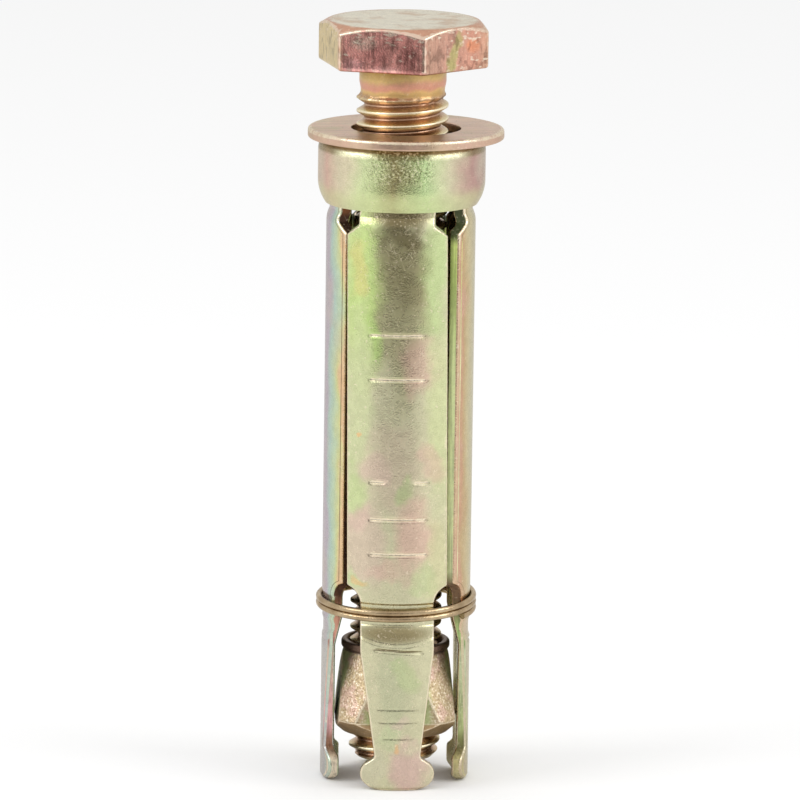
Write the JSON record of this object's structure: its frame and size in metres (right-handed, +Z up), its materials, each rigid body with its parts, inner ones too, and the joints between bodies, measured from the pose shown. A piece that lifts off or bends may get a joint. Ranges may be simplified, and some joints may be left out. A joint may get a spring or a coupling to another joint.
{
  "type": "anchor bolt",
  "caption": "Shield expansion anchor: a hex bolt with a loose washer, a cup ferrule, pressed segments held by a spring ring, and a cone nut that spreads them as the bolt turns.",
  "frame": {"origin": "on the shield's axis, at the level of the feet the anchor stands on", "axes": "+Z up along the bolt to its head, -Y to the front segment, +X to the right of it"},
  "size_m": [0.0254, 0.0254, 0.1001],
  "materials": {
    "bolt": "yellow zinc plating",
    "washer": "yellow zinc plating, brushed",
    "ferrule": "yellow zinc plating",
    "shield": "yellow zinc plating",
    "ring": "yellow zinc plated spring wire",
    "nut": "yellow zinc plating"
  },
  "bodies": {
    "collar": {"ferrule": "ferrule", "flat_washer": "washer", "retaining_ring": "ring"},
    "bolt": {"hex_bolt": "bolt"},
    "nut": {"cone_nut": "nut"},
    "leg_front": {"segment_front": "shield"},
    "leg_right": {"segment_right": "shield"},
    "leg_back": {"segment_back": "shield"},
    "leg_left": {"segment_left": "shield"}
  },
  "joints": [
    {"name": "bolt_turn", "type": "hinge", "parent": "collar", "child": "bolt", "pos_m": [0, 0, 0.09725], "axis": [0, 0, -1], "range_deg": [0, 2520], "deforming": ["retaining_ring"]},
    {"name": "nut_draw", "type": "slide", "parent": "collar", "child": "nut", "axis": [0, 0, 1], "range_m": [0, 0.01225]},
    {"name": "spread_front", "type": "hinge", "parent": "collar", "child": "leg_front", "pos_m": [0, -0.0093, 0.07695], "axis": [-1, 0, 0], "range_deg": [0, 0.9]},
    {"name": "spread_right", "type": "hinge", "parent": "collar", "child": "leg_right", "pos_m": [0.00928, 0.00065, 0.07695], "axis": [0.0698, -0.9976, 0], "range_deg": [0, 0.9]},
    {"name": "spread_back", "type": "hinge", "parent": "collar", "child": "leg_back", "pos_m": [-0.00041, 0.00929, 0.07695], "axis": [0.999, 0.0436, 0], "range_deg": [0, 0.9]},
    {"name": "spread_left", "type": "hinge", "parent": "collar", "child": "leg_left", "pos_m": [-0.0093, -0.00024, 0.07695], "axis": [-0.0262, 0.9997, 0], "range_deg": [0, 0.9]}
  ],
  "couplings": [
    {"joint": "nut_draw", "follows": "bolt_turn", "m_per_rad": 0.0002785},
    {"joint": "spread_front", "follows": "bolt_turn", "ratio": 0.00035714},
    {"joint": "spread_right", "follows": "bolt_turn", "ratio": 0.00035714},
    {"joint": "spread_back", "follows": "bolt_turn", "ratio": 0.00035714},
    {"joint": "spread_left", "follows": "bolt_turn", "ratio": 0.00035714}
  ]
}
